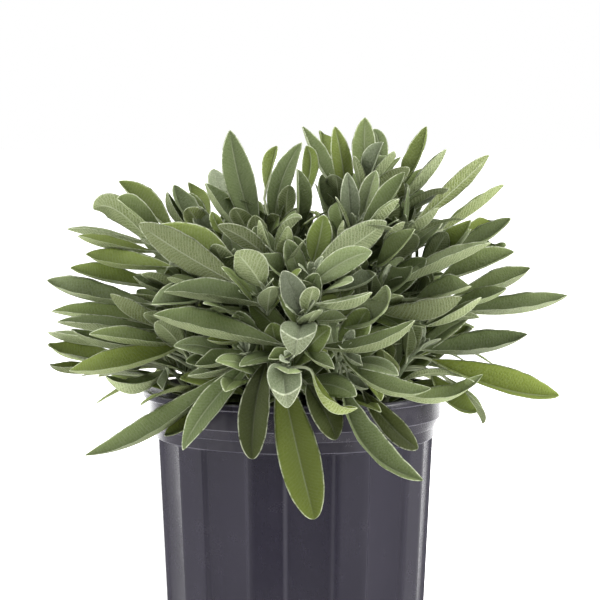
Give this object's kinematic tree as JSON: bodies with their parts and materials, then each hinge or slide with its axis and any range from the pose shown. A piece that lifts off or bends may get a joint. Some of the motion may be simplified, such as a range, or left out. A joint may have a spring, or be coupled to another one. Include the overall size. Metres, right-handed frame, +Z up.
{
  "type": "potted sage",
  "caption": "Bushy common sage in a ribbed round nursery pot: leafy stems in potting soil, with long oblong leaves that spread past the rim on all sides.",
  "frame": {"origin": "middle of the pot's underside, where it rests", "axes": "+Z up; -Y toward the viewer of the front, where the longest leaf hangs over the rim; +X to that viewer's right"},
  "size_m": [0.2895, 0.2449, 0.3205],
  "materials": {
    "pot_plastic": "satin",
    "potting_soil": "matte",
    "sage_leaf": "matte"
  },
  "bodies": {
    "root": {"pot": "pot_plastic", "soil": "potting_soil", "shoot_front_centre": "sage_leaf", "shoot_front_low": "sage_leaf", "shoot_front_left": "sage_leaf", "shoot_low_left": "sage_leaf", "shoot_low_right": "sage_leaf", "shoot_front_right": "sage_leaf", "shoot_centre": "sage_leaf", "shoot_crown_left": "sage_leaf", "shoot_crown": "sage_leaf", "shoot_crown_right": "sage_leaf", "shoot_top_right": "sage_leaf", "shoot_upper_right": "sage_leaf", "shoot_right_high": "sage_leaf", "shoot_right_upper": "sage_leaf", "shoot_right_outer": "sage_leaf", "shoot_right_mid": "sage_leaf", "shoot_right_side": "sage_leaf", "shoot_right_low": "sage_leaf", "shoot_left_high": "sage_leaf", "shoot_left_upper": "sage_leaf", "shoot_left_outer": "sage_leaf", "shoot_left_mid": "sage_leaf", "shoot_left_side": "sage_leaf", "shoot_left_low": "sage_leaf", "shoot_left_lowest": "sage_leaf", "shoot_back_high_1": "sage_leaf", "shoot_back_high_2": "sage_leaf", "shoot_back_high_3": "sage_leaf", "shoot_back_middle_1": "sage_leaf", "shoot_back_middle_2": "sage_leaf", "shoot_back_middle_3": "sage_leaf", "shoot_back_middle_4": "sage_leaf", "shoot_back_middle_5": "sage_leaf", "shoot_back_low_1": "sage_leaf", "shoot_back_low_2": "sage_leaf", "shoot_back_low_3": "sage_leaf", "shoot_back_low_4": "sage_leaf", "shoot_back_low_5": "sage_leaf", "shoot_back_low_6": "sage_leaf"}
  },
  "joints": []
}
